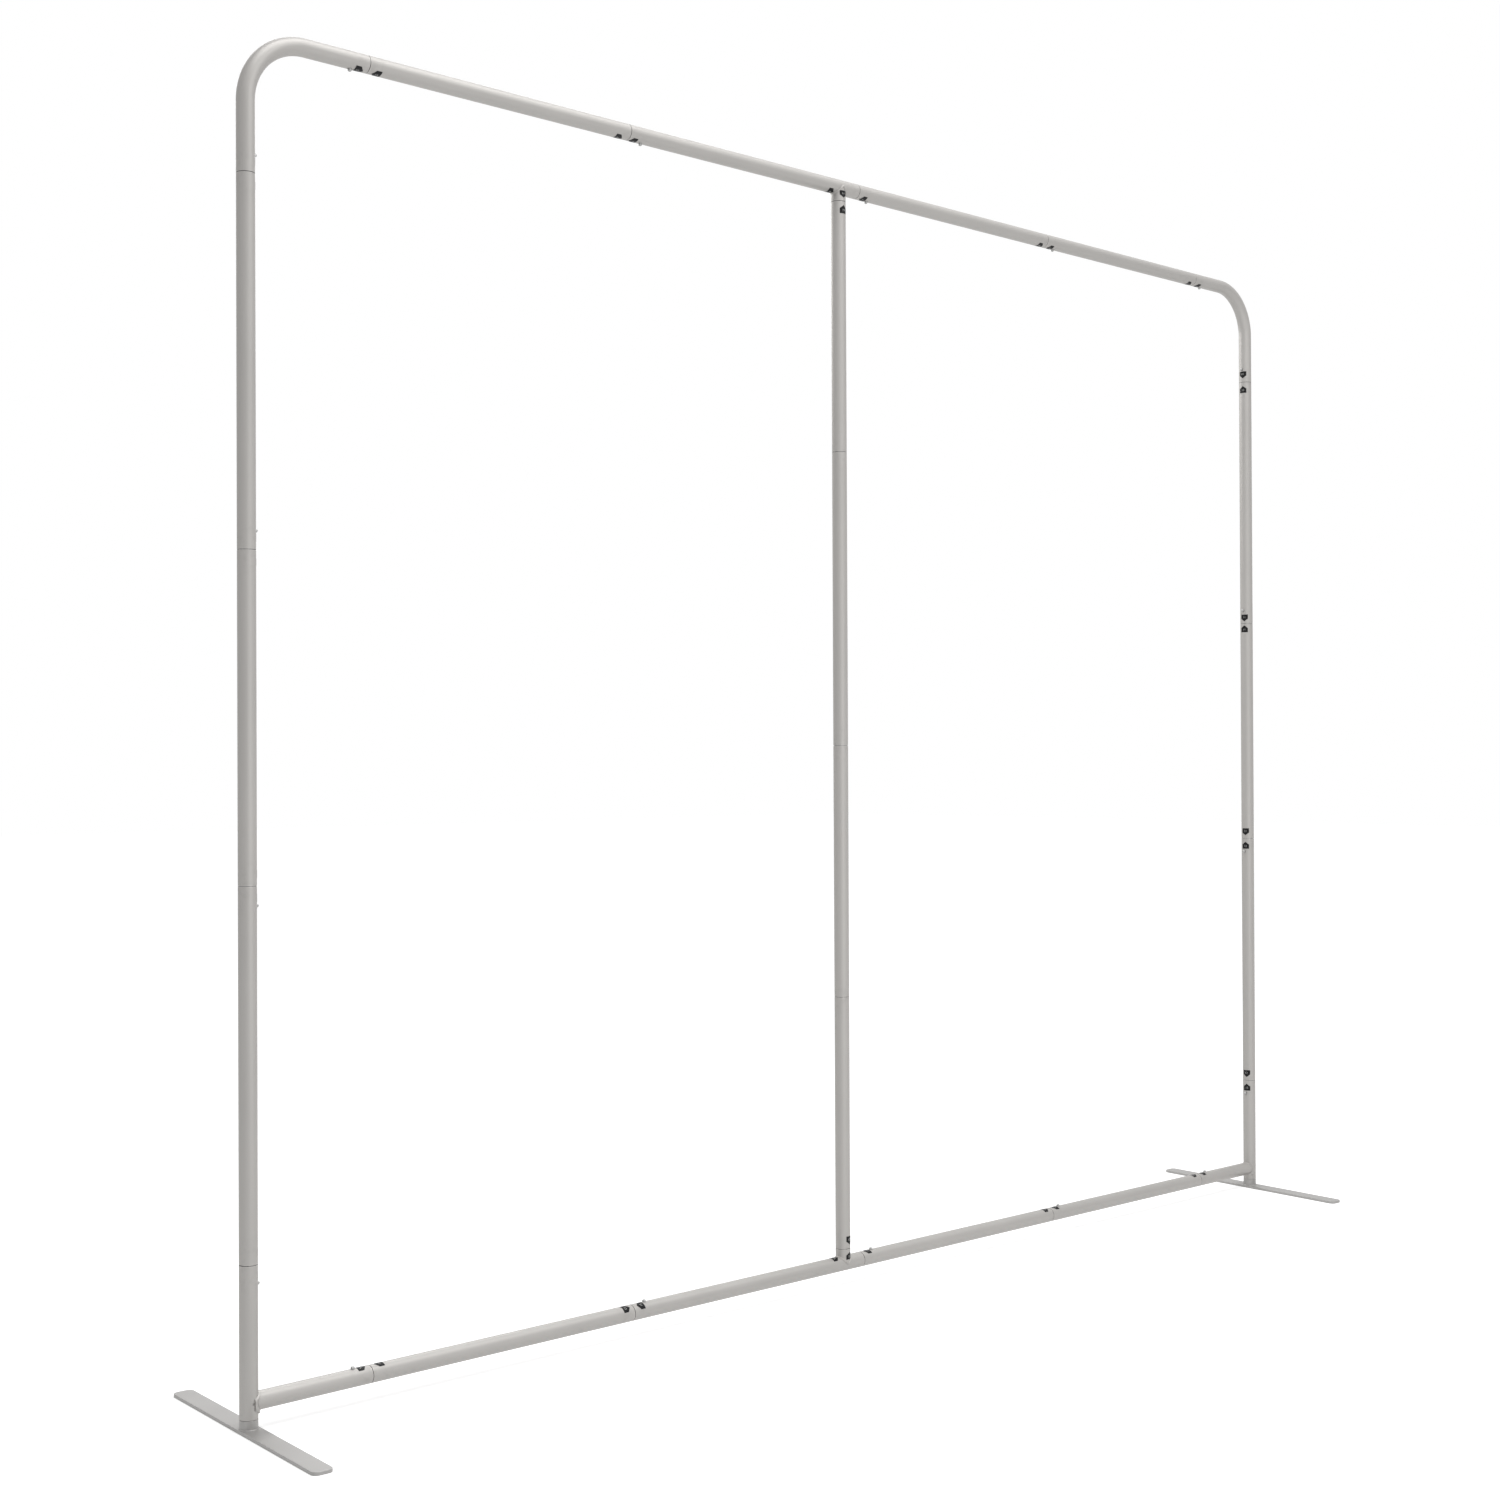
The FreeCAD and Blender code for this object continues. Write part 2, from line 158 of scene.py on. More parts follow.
class NodeTree:
    """A node tree that is built node by node, for a material, the world or a mesh."""

    def __init__(self, tree: bpy.types.NodeTree) -> None:
        """Start from an empty tree."""
        self.tree = tree
        tree.nodes.clear()

    def node(self, kind: str, settings: Mapping[str, Any], inputs: Mapping[Any, Any]) -> bpy.types.Node:
        """Add one node, with its settings made before its sockets are filled.

        Args:
            kind: The node's type.
            settings: Properties of the node itself.
            inputs: Values or links of its sockets, by name or index.

        Returns:
            The new node.
        """
        node = self.tree.nodes.new(kind)
        for name, value in settings.items():
            setattr(node, name, value)
        for key, value in inputs.items():
            for item in value if isinstance(value, list) else [value]:
                self.feed(node.inputs[key], item)
        return node

    def feed(self, target: bpy.types.NodeSocket, value: Any) -> None:
        """Link a socket into the target, or set the target's own value."""
        if isinstance(value, Socket):
            self.tree.links.new(value.output, target)
        else:
            target.default_value = value

    def result(self, kind: str, inputs: Mapping[Any, Any], output: Union[str, int],
               **settings: Any) -> Socket:
        """Add a node and take one of its outputs.

        Args:
            kind: The node's type.
            inputs: Values or links of its sockets.
            output: Name or index of the output that is taken.
            settings: Properties of the node itself.

        Returns:
            That output.
        """
        return Socket(self, self.node(kind, settings, inputs).outputs[output])

    def math(self, operation: str, *values: Value) -> Socket:
        """Add a Math node.

        Args:
            operation: The node's operation.
            values: Its operands.

        Returns:
            The result.
        """
        return self.result("ShaderNodeMath", dict(enumerate(values)), "Value", operation=operation)

    def combine(self, x: Value, y: Value, z: Value) -> Socket:
        """A vector made of three values."""
        return self.result("ShaderNodeCombineXYZ", {"X": x, "Y": y, "Z": z}, "Vector")

    def separate(self, vector: Socket) -> tuple[Socket, Socket, Socket]:
        """The three values of a vector."""
        node = self.node("ShaderNodeSeparateXYZ", {}, {"Vector": vector})
        return tuple(Socket(self, node.outputs[name]) for name in "XYZ")


@dataclass(frozen=True)
class Grain:
    """One layer of noise: its features per unit, the number of finer octaves and their share."""

    scale: float
    detail: float
    roughness: float


class ShaderTree(NodeTree):
    """The nodes of one surface, from its coordinates to its shader."""

    MIX_FACTOR = 0
    MIX_LOW = 6
    MIX_HIGH = 7
    MIX_RESULT = 2

    def __init__(self, name: str) -> None:
        """Make the material and its empty tree."""
        self.material = bpy.data.materials.new(name)
        self.material.use_nodes = True
        super().__init__(self.material.node_tree)

    def coordinates(self) -> Socket:
        """Object coordinates, which are the part's own frame in metres."""
        return self.result("ShaderNodeTexCoord", {}, "Object")

    def noise(self, vector: Socket, grain: Grain) -> Socket:
        """Soft noise between 0 and 1.

        Args:
            vector: Where it is read.
            grain: Its scale and octaves.

        Returns:
            The noise value.
        """
        inputs = {
            "Vector": vector, "Scale": grain.scale, "Detail": grain.detail, "Roughness": grain.roughness}
        return self.result("ShaderNodeTexNoise", inputs, "Fac")

    def mix(self, factor: Value, low: Union[Socket, Colour], high: Union[Socket, Colour]) -> Socket:
        """Blend two colours.

        Args:
            factor: Share of the second colour.
            low: Colour at 0.
            high: Colour at 1.

        Returns:
            The blended colour.
        """
        colours = [item if isinstance(item, Socket) else (*item, 1.0) for item in (low, high)]
        inputs = {self.MIX_FACTOR: factor, self.MIX_LOW: colours[0], self.MIX_HIGH: colours[1]}
        return self.result("ShaderNodeMix", inputs, self.MIX_RESULT, data_type="RGBA")

    def bump(self, height: Socket, distance: float) -> Socket:
        """A normal that follows a height.

        Args:
            height: The height, from 0 to 1.
            distance: Real height of 1, in metres.

        Returns:
            The bumped normal.
        """
        inputs = {"Height": height, "Distance": distance, "Strength": 1.0}
        return self.result("ShaderNodeBump", inputs, "Normal")

    def surface(self, inputs: Mapping[str, Any]) -> bpy.types.Material:
        """End the tree in a Principled shader.

        Args:
            inputs: Values or links of the shader's sockets.

        Returns:
            The finished material.
        """
        filled = {
            name: (*value, 1.0) if isinstance(value, tuple) else value for name, value in inputs.items()}
        return self.ended(self.result("ShaderNodeBsdfPrincipled", filled, "BSDF"))

    def ended(self, shader: Socket) -> bpy.types.Material:
        """Send a shader to the material's output."""
        self.node("ShaderNodeOutputMaterial", {}, {"Surface": shader})
        return self.material


class GeometryTree(NodeTree):
    """A Geometry Nodes tree with named inputs, evaluated to a plain mesh."""

    MERGE_DISTANCE = 0.001 * MM
    COMPARE_ONE = 2
    COMPARE_OTHER = 3

    def __init__(self, name: str, sizes: Sequence[str]) -> None:
        """Make the tree with one mesh input and one number input for each size.

        Args:
            name: The tree's name.
            sizes: Names of its number inputs.
        """
        super().__init__(bpy.data.node_groups.new(name, "GeometryNodeTree"))
        face = self.tree.interface
        face.new_socket("Mesh", in_out="INPUT", socket_type="NodeSocketGeometry")
        face.new_socket("Mesh", in_out="OUTPUT", socket_type="NodeSocketGeometry")
        self.identifiers = {
            size: face.new_socket(size, in_out="INPUT", socket_type="NodeSocketFloat").identifier
            for size in sizes}
        self.entry = self.node("NodeGroupInput", {}, {})

    def given(self, name: str) -> Socket:
        """One of the tree's inputs."""
        return Socket(self, self.entry.outputs[name])

    def position(self) -> Socket:
        """Where each point is."""
        return self.result("GeometryNodeInputPosition", {}, "Position")

    def attribute(self, name: str, kind: str = "FLOAT_VECTOR") -> Socket:
        """A named attribute of the input mesh's points."""
        return self.result("GeometryNodeInputNamedAttribute", {"Name": name}, "Attribute", data_type=kind)

    def numbered(self, name: str, number: int) -> Socket:
        """1 at the input mesh's points whose named whole number is this one."""
        inputs = {self.COMPARE_ONE: self.attribute(name, "INT"), self.COMPARE_OTHER: number}
        return self.result("FunctionNodeCompare", inputs, "Result", data_type="INT", operation="EQUAL")

    def turned(self, out: str, side: str, side_axis: str) -> Socket:
        """The turn of a copy at each point of the input mesh.

        Args:
            out: Name of the direction that the copy's Z axis takes.
            side: Name of the direction that its side axis takes.
            side_axis: X or Y.

        Returns:
            The turn.
        """
        inputs = {"Primary Axis": self.attribute(out), "Secondary Axis": self.attribute(side)}
        return self.result(
            "FunctionNodeAxesToRotation", inputs, "Rotation", primary_axis="Z", secondary_axis=side_axis)

    def moved(self, geometry: Socket, place: Socket) -> Socket:
        """The geometry with each point at a new place."""
        return self.result(
            "GeometryNodeSetPosition", {"Geometry": geometry, "Position": place}, "Geometry")

    def joined(self, *parts: Socket) -> Socket:
        """Several geometries as one."""
        return self.result("GeometryNodeJoinGeometry", {"Geometry": list(parts)}, "Geometry")

    def thickened(self, sheet: Socket, thickness: Value) -> Socket:
        """A flat sheet made a closed solid.

        Args:
            sheet: The sheet, facing +Z.
            thickness: How far its top is raised.

        Returns:
            The closed solid.
        """
        raised = {"Mesh": sheet, "Offset Scale": thickness, "Individual": False}
        top = self.result("GeometryNodeExtrudeMesh", raised, "Mesh")
        back = self.result("GeometryNodeFlipFaces", {"Mesh": sheet}, "Mesh")
        closed = {"Geometry": self.joined(top, back), "Distance": self.MERGE_DISTANCE}
        return self.result("GeometryNodeMergeByDistance", closed, "Geometry")

    def finished(self, geometry: Socket, material: bpy.types.Material) -> "GeometryTree":
        """End the tree in real, dressed geometry.

        Args:
            geometry: What the tree makes.
            material: The finish it takes.

        Returns:
            The tree itself.
        """
        real = self.result("GeometryNodeRealizeInstances", {"Geometry": geometry}, "Geometry")
        dressed = self.result(
            "GeometryNodeSetMaterial", {"Geometry": real, "Material": material}, "Geometry")
        self.node("NodeGroupOutput", {}, {"Mesh": dressed})
        return self

    def piece(self, name: str, seed: bpy.types.Mesh, sizes: Mapping[str, float]) -> bpy.types.Object:
        """Evaluate the tree to a plain mesh object at the origin.

        Args:
            name: Name of the piece.
            seed: The mesh that the tree starts from.
            sizes: Values of its number inputs.

        Returns:
            The piece.
        """
        piece = bpy.data.objects.new(name, seed)
        bpy.context.scene.collection.objects.link(piece)
        modifier = piece.modifiers.new(name, "NODES")
        modifier.node_group = self.tree
        for size, value in sizes.items():
            modifier[self.identifiers[size]] = value
        evaluated = piece.evaluated_get(bpy.context.evaluated_depsgraph_get())
        mesh = bpy.data.meshes.new_from_object(evaluated)
        mesh.name = name
        piece.modifiers.remove(modifier)
        piece.data = mesh
        return piece


@dataclass(frozen=True)
class WallPlan:
    """Axes and seams of the wall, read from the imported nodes."""

    tube_radius: float
    upright_x: float
    top_rail_z: float
    bottom_rail_z: float
    post_x: float
    upright_seams: tuple[float, ...]
    top_rail_seams: tuple[float, ...]
    bottom_rail_seams: tuple[float, ...]
    post_seams: tuple[float, ...]

    @classmethod
    def read(cls) -> "WallPlan":
        """Measure the nodes.

        Returns:
            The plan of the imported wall.
        """
        rails = ("left_outer", "left_inner", "right_inner", "right_outer")
        uprights = ("bottom_leg", "lower_upright", "middle_upright", "upper_upright", "top_corner")
        tubes = ("bottom_tube", "lower_tube", "long_tube", "upper_tube")
        upright = cls.axis_of("right_lower_upright")
        post = cls.axis_of("post_long_tube")
        low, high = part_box("top_rail_left_inner")
        return cls(
            tube_radius=(high - low).z / 2,
            upright_x=upright.x,
            top_rail_z=cls.axis_of("top_rail_left_inner").z,
            bottom_rail_z=cls.axis_of("bottom_rail_left_inner").z,
            post_x=post.x,
            upright_seams=cls.seams([f"left_{part}" for part in uprights], 2),
            top_rail_seams=cls.seams(
                ["left_top_corner", *(f"top_rail_{part}" for part in rails), "right_top_corner"], 0),
            bottom_rail_seams=cls.seams(
                ["left_end_rail", *(f"bottom_rail_{part}" for part in rails), "right_end_rail"], 0),
            post_seams=cls.seams(
                ["bottom_tee_stub", *(f"post_{part}" for part in tubes), "top_tee_stub"], 2))

    @staticmethod
    def axis_of(node: str) -> Vector:
        """Middle of a node's box."""
        low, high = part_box(node)
        return (low + high) / 2

    @staticmethod
    def seams(nodes: Sequence[str], axis: int) -> tuple[float, ...]:
        """Where a row of nodes meets, end to end.

        Args:
            nodes: Names in order along the axis.
            axis: 0 for X and 2 for Z.

        Returns:
            One place for each pair of neighbours.
        """
        boxes = [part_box(node) for node in nodes]
        return tuple((one[1][axis] + two[0][axis]) / 2 for one, two in zip(boxes, boxes[1:]))


class Run(Enum):
    """Which member a stretch of tube belongs to, and so the way its drawing lines run."""

    LOOP = "loop"
    BOTTOM_RAIL = "bottom_rail"
    POST = "post"


@dataclass(frozen=True)
class SatinTubeFinish:
    """Satin silver aluminium, faint drawing lines, uneven sheen, painted shade at seams, burnished rims
    with painted highlight.
    """

    colour: Colour = (0.47, 0.456, 0.439)
    spread: float = 0.12
    metallic: float = 0.5
    specular: float = 0.25
    roughness: float = 0.5
    bend_radius: float = 116 * MM
    line_width: float = 0.7 * MM
    line_length: float = 0.4
    line_depth: float = 0.012 * MM
    line_grain: Grain = Grain(1.0, 3.0, 0.6)
    line_tone: float = 0.35
    cloud_grain: Grain = Grain(7.0, 3.0, 0.55)
    cloud_tone: float = 0.5
    cloud_sheen: float = 0.1
    handled_reach: float = 60 * MM
    handled_start: float = 0.3
    handled_grain: Grain = Grain(90.0, 4.0, 0.6)
    handled_span: Span = (0.45, 0.7)
    handled_tone: float = 0.12
    handled_sheen: float = 0.08
    seam_start: float = 0.6
    # painted shade: the seam gap's shade drawn as a dark line on the tube either side of it
    groove_reach: float = 0.8 * MM
    groove_colour: Colour = (0.05, 0.048, 0.046)
    groove_share: float = 0.8
    # rims beside each seam: burnished, with lower roughness, and lightened in colour by a painted highlight
    rim_reach: float = 2.2 * MM
    rim_tone: float = 0.45
    rim_sheen: float = 0.12

    @staticmethod
    def near(gap: Socket, start: float, reach: float) -> Socket:
        """How near a seam is.

        Args:
            gap: Distance to it.
            start: Share of the reach at which it starts to fade.
            reach: Where it ends.

        Returns:
            1 at the seam and 0 beyond its reach.
        """
        return 1.0 - gap.step(start * reach, reach)

    def places(self, tree: ShaderTree, run: Run, plan: WallPlan) -> tuple[Socket, Socket, Socket, Socket]:
        """Where a point lies on its tube.

        Args:
            tree: The material's nodes.
            run: The member that the tube belongs to.
            plan: Axes and seams of the wall.

        Returns:
            Coordinates across, through and along the tube, and the distance to the nearest seam.
        """
        x, y, z = tree.separate(tree.coordinates())
        if run is Run.LOOP:
            side = (abs(x) - (plan.upright_x - self.bend_radius)).at_least(0.0)
            rise = (z - (plan.top_rail_z - self.bend_radius)).at_least(0.0)
            across = (side * side + rise * rise).root() - self.bend_radius
            along = z - abs(x)
            gaps = [abs(z - seam) for seam in plan.upright_seams]
            gaps += [abs(x - seam) for seam in plan.top_rail_seams]
        elif run is Run.BOTTOM_RAIL:
            across = z - plan.bottom_rail_z
            along = x
            gaps = [abs(x - seam) for seam in plan.bottom_rail_seams]
        else:
            across = x - plan.post_x
            along = z
            gaps = [abs(z - seam) for seam in plan.post_seams]
        nearest = gaps[0]
        for gap in gaps[1:]:
            nearest = nearest.at_most(gap)
        return across, y, along, nearest

    def material(self, run: Run, plan: WallPlan) -> bpy.types.Material:
        """Make the finish for one run of tube.

        Args:
            run: The member that the tube belongs to.
            plan: Axes and seams of the wall.

        Returns:
            The material.
        """
        tree = ShaderTree(f"satin_tube_{run.value}")
        across, through, along, nearest = self.places(tree, run, plan)
        fine = tree.combine(
            across / self.line_width, through / self.line_width, along / self.line_length)
        lines = tree.noise(fine, self.line_grain)
        cloud = tree.noise(tree.coordinates(), self.cloud_grain).centred()
        grime = tree.noise(tree.coordinates(), self.handled_grain).step(*self.handled_span)
        handled = self.near(nearest, self.handled_start, self.handled_reach) * grime
        # painted shade of the seam gap, darkest at the seam
        gap_shade = self.near(nearest, self.seam_start, self.groove_reach)
        # rim mask: burnish in the roughness, painted highlight in the colour
        rim_burnish_and_highlight = self.near(nearest, self.seam_start, self.rim_reach) - gap_shade
        tone = lines.centred() * self.line_tone + cloud * self.cloud_tone - handled * self.handled_tone
        # the tone is lightened at the rims by the painted highlight
        shade = tree.mix(
            tone + 0.5 + rim_burnish_and_highlight * self.rim_tone,
            shaded(self.colour, 1 - self.spread), shaded(self.colour, 1 + self.spread))
        sheen = cloud * self.cloud_sheen + handled * self.handled_sheen - rim_burnish_and_highlight * self.rim_sheen
        return tree.surface({
            # the seam gap's painted shade is mixed into the base colour
            "Base Color": tree.mix(gap_shade * self.groove_share, shade, self.groove_colour),
            "Metallic": self.metallic,
            "Specular IOR Level": self.specular,
            "Roughness": self.roughness + sheen,
            "Normal": tree.bump(lines, self.line_depth)})


@dataclass(frozen=True)
class FootFinish:
    """Silver grey paint on steel plate, with a fine orange peel and paint worn thin along the edges."""

    colour: Colour = (0.432, 0.423, 0.413)
    worn_colour: Colour = (0.54, 0.53, 0.52)
    spread: float = 0.07
    metallic: float = 0.35
    roughness: float = 0.46
    peel_grain: Grain = Grain(1.0 / (1.6 * MM), 2.0, 0.5)
    peel_depth: float = 0.02 * MM
    cloud_grain: Grain = Grain(12.0, 3.0, 0.5)
    cloud_sheen: float = 0.12
    edge_width: float = 2.2 * MM
    chip_grain: Grain = Grain(150.0, 4.0, 0.6)
    chip_span: Span = (0.42, 0.72)
    worn_sheen: float = 0.1
    scuffs_across: float = 40.0
    scuffs_along: float = 900.0
    scuff_grain: Grain = Grain(1.0, 3.0, 0.6)
    scuff_span: Span = (0.62, 0.72)
    scuff_share: float = 0.15
    length: float = 550 * MM
    width: float = 38 * MM
    turn: float = math.radians(4.0)

    def material(self, plate: str) -> bpy.types.Material:
        """Make the finish for one foot.

        Args:
            plate: Name of the foot's plate node.

        Returns:
            The material.
        """
        low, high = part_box(plate)
        tree = ShaderTree(f"{plate}_paint")
        place = tree.coordinates()
        x, y, z = tree.separate(place)
        middle = (low + high) / 2
        aside = x - middle.x
        back = y - middle.y
        across = aside * math.cos(self.turn) - back * math.sin(self.turn)
        along = aside * math.sin(self.turn) + back * math.cos(self.turn)
        inward = (self.width / 2 - abs(across)).at_most(self.length / 2 - abs(along))
        cloud = tree.noise(place, self.cloud_grain)
        edge = (1.0 - inward.step(0.0, self.edge_width)) * z.step(high.z - self.edge_width, high.z)
        worn = edge * tree.noise(place, self.chip_grain).step(*self.chip_span)
        streaks = tree.combine(
            across * self.scuffs_across, along * self.scuffs_along, z * self.scuffs_across)
        scuffs = tree.noise(streaks, self.scuff_grain).step(*self.scuff_span)
        bare = (worn + scuffs * self.scuff_share).at_most(1.0)
        base = tree.mix(cloud, shaded(self.colour, 1 - self.spread), shaded(self.colour, 1 + self.spread))
        return tree.surface({
            "Base Color": tree.mix(bare, base, self.worn_colour),
            "Metallic": self.metallic,
            "Roughness": self.roughness + cloud.centred() * self.cloud_sheen - worn * self.worn_sheen,
            "Normal": tree.bump(tree.noise(place, self.peel_grain), self.peel_depth)})


@dataclass(frozen=True)
class PlainMetalFinish:
    """Machined or plated metal with fine scratches and slightly uneven colour."""

    name: str
    colour: Colour
    metallic: float
    roughness: float
    scratch_depth: float
    dark_share: float = 0.85
    light_share: float = 1.1
    cloud_grain: Grain = Grain(220.0, 3.0, 0.55)
    cloud_tone: float = 0.6
    cloud_sheen: float = 0.15
    scratch_scales: tuple[float, float, float] = (300.0, 2600.0, 700.0)
    scratch_grain: Grain = Grain(1.0, 3.0, 0.65)
    scratch_tone: float = 0.4

    def material(self) -> bpy.types.Material:
        """Make the finish."""
        tree = ShaderTree(self.name)
        place = tree.coordinates()
        cloud = tree.noise(place, self.cloud_grain).centred()
        drawn = [part * scale for part, scale in zip(tree.separate(place), self.scratch_scales)]
        scratches = tree.noise(tree.combine(*drawn), self.scratch_grain)
        tone = cloud * self.cloud_tone + scratches.centred() * self.scratch_tone + 0.5
        dark = shaded(self.colour, self.dark_share)
        light = shaded(self.colour, self.light_share)
        return tree.surface({
            "Base Color": tree.mix(tone, dark, light),
            "Metallic": self.metallic,
            "Roughness": self.roughness + cloud * self.cloud_sheen,
            "Normal": tree.bump(scratches, self.scratch_depth)})


@dataclass(frozen=True)
class PrintFinish:
    """Printed vinyl: one ink with a fine grain, a little rubbed."""

    name: str
    colour: Colour
    rubbed_colour: Colour
    roughness: float
    specular: float = 0.15
    vinyl_grain: Grain = Grain(2400.0, 2.0, 0.5)
    vinyl_sheen: float = 0.12
    vinyl_depth: float = 0.01 * MM
    rub_grain: Grain = Grain(420.0, 4.0, 0.6)
    rub_span: Span = (0.52, 0.75)
    rub_share: float = 0.5

    def material(self) -> bpy.types.Material:
        """Make the finish."""
        tree = ShaderTree(self.name)
        place = tree.coordinates()
        vinyl = tree.noise(place, self.vinyl_grain)
        rubbed = tree.noise(place, self.rub_grain).step(*self.rub_span)
        return tree.surface({
            "Base Color": tree.mix(rubbed * self.rub_share, self.colour, self.rubbed_colour),
            "Specular IOR Level": self.specular,
            "Roughness": self.roughness + vinyl.centred() * self.vinyl_sheen,
            "Normal": tree.bump(vinyl, self.vinyl_depth)})


@dataclass(frozen=True)
class PhotoCamera:
    """A camera that stands where the photograph was taken, with the lens in pixels of its square frame."""

    position: tuple[float, float, float] = (-3.2675, -3.1914, 1.1304)
    heading: float = 42.730
    tilt: float = 0.375
    roll: float = -0.242
    focal_pixels: float = 2090.0
    frame_pixels: float = 1500.0
    sensor: float = 36.0

    def build(self) -> bpy.types.Object:
        """Make the camera and give it to the scene.

        Returns:
            The camera.
        """
        data = bpy.data.cameras.new("photo_camera")
        data.sensor_width = self.sensor
        data.lens = self.sensor * self.focal_pixels / self.frame_pixels
        camera = bpy.data.objects.new("photo_camera", data)
        turn = Matrix.Rotation(math.radians(-self.heading), 4, "Z")
        lift = Matrix.Rotation(math.radians(90.0 + self.tilt), 4, "X")
        twist = Matrix.Rotation(math.radians(self.roll), 4, "Z")
        camera.matrix_world = Matrix.Translation(self.position) @ turn @ lift @ twist
        bpy.context.scene.collection.objects.link(camera)
        bpy.context.scene.camera = camera
        return camera


@dataclass(frozen=True)
class Softbox:
    """One flat studio light, aimed at a point of the wall."""

    name: str
    position: tuple[float, float, float]
    target: tuple[float, float, float]
    width: float
    height: float
    radiance: float

    def build(self) -> bpy.types.Object:
        """Make the light.

        Returns:
            The light.
        """
        data = bpy.data.lights.new(self.name, "AREA")
        data.shape = "RECTANGLE"
        data.size = self.width
        data.size_y = self.height
        data.energy = self.radiance * math.pi * self.width * self.height
        light = bpy.data.objects.new(self.name, data)
        light.location = self.position
        light.visible_camera = False
        aim = Vector(self.target) - Vector(self.position)
        light.rotation_euler = aim.to_track_quat("-Z", "Y").to_euler()
        bpy.context.scene.collection.objects.link(light)
        return light


@dataclass(frozen=True)
class Studio:
    """A plain pale floor under a white surround, with soft light from above, in front and behind."""

    floor_size: float = 60.0
    floor_drop: float = 0.2 * MM
    floor_colour: Colour = (0.8, 0.8, 0.8)
    near_lift: Colour = (0.55, 0.55, 0.55)
    far_lift: Colour = (0.88, 0.88, 0.88)
    lift_start: float = 2.0
    lift_end: float = 6.0
    ambient: float = 0.2
    lamps: tuple[Softbox, ...] = (
        Softbox("ceiling_box", (0.3, -2.2, 8.0), (0.3, -2.2, 0.0), 7.0, 5.0, 3.15),
        Softbox("front_box", (0.5, -2.7, 4.0), (0.2, 0.0, 1.3), 2.6, 1.8, 1.65),
        Softbox("fill_box", (-0.8, -3.4, 1.0), (-0.2, 0.0, 0.8), 2.6, 1.6, 1.2),
        Softbox("back_box", (0.3, 2.4, 3.5), (0.2, 0.0, 1.4), 3.0, 2.0, 3.0))

    def seen(self, tree: NodeTree) -> Socket:
        """1 for rays that show the surround, which are camera, glossy and transmission rays."""
        path = tree.node("ShaderNodeLightPath", {}, {})
        camera, glossy, through = (
            Socket(tree, path.outputs[f"Is {kind} Ray"]) for kind in ("Camera", "Glossy", "Transmission"))
        return camera.at_least(glossy).at_least(through)

    def floor(self) -> bpy.types.Object:
        """Make the floor, which is lifted to white where it is seen and keeps the wall's shadow."""
        tree = ShaderTree("pale_floor")
        matt = tree.result("ShaderNodeBsdfDiffuse", {"Color": (*self.floor_colour, 1.0)}, "BSDF")
        x, y, _ = tree.separate(tree.coordinates())
        away = (x * x + y * y).root().step(self.lift_start, self.lift_end)
        glow = tree.mix(away, self.near_lift, self.far_lift)
        lift = tree.result("ShaderNodeEmission", {"Color": glow, "Strength": self.seen(tree)}, "Emission")
        half = self.floor_size / 2
        mesh = bpy.data.meshes.new("floor")
        signs = ((-1, -1), (1, -1), (1, 1), (-1, 1))
        corners = [(side * half, back * half, -self.floor_drop) for side, back in signs]
        mesh.from_pydata(corners, [], [range(len(corners))])
        mesh.materials.append(tree.ended(tree.result("ShaderNodeAddShader", {0: matt, 1: lift}, "Shader")))
        floor = bpy.data.objects.new("floor", mesh)
        bpy.context.scene.collection.objects.link(floor)
        return floor

    def surround(self) -> None:
        """Make the world white where it is seen, and a plain light elsewhere."""
        world = bpy.data.worlds.new("surround")
        world.use_nodes = True
        bpy.context.scene.world = world
        tree = NodeTree(world.node_tree)
        light, white = (
            tree.result("ShaderNodeBackground", {"Color": (1, 1, 1, 1), "Strength": strength}, "Background")
            for strength in (self.ambient, 1.0))
        shown = tree.result("ShaderNodeMixShader", {0: self.seen(tree), 1: light, 2: white}, "Shader")
        tree.node("ShaderNodeOutputWorld", {}, {"Surface": shown})

    def build(self) -> None:
        """Make the floor, the surround and the lamps, and set the plain view transform."""
        bpy.context.scene.view_settings.view_transform = "Standard"
        self.surround()
        self.floor()
        for lamp in self.lamps:
            lamp.build()


@dataclass
class TubeFrame:
    """The uprights, corners, rails and post, with their hidden spigots and springs."""

    plan: WallPlan
    nodes: Mapping[str, bpy.types.Object]
    finish: SatinTubeFinish = SatinTubeFinish()
    spigot: PlainMetalFinish = PlainMetalFinish(
        "spigot_aluminium", (0.52, 0.52, 0.52), 0.9, 0.38, 0.02 * MM)
    spring: PlainMetalFinish = PlainMetalFinish("spring_steel", (0.2, 0.2, 0.21), 0.9, 0.4, 0.01 * MM)

    def run_of(self, node: str) -> Run:
        """The run that a tube node belongs to."""
        if node.startswith("post_") or node.endswith("_tee_stub"):
            return Run.POST
        if node.startswith("bottom_rail_") or node.endswith("_end_rail") or node == "rail_saddles":
            return Run.BOTTOM_RAIL
        return Run.LOOP

    def dress(self) -> dict[Run, bpy.types.Material]:
        """Give each node of the frame its finish.

        Returns:
            The tube materials, by run.
        """
        tubes = {run: self.finish.material(run, self.plan) for run in Run}
        spigot = self.spigot.material()
        spring = self.spring.material()
        for name, node in self.nodes.items():
            if node["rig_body"] != "frame":
                continue
            if name.endswith("_spigots"):
                wear(node, spigot)
            elif name.endswith("_springs"):
                wear(node, spring)
            else:
                wear(node, tubes[self.run_of(name)])
        return tubes


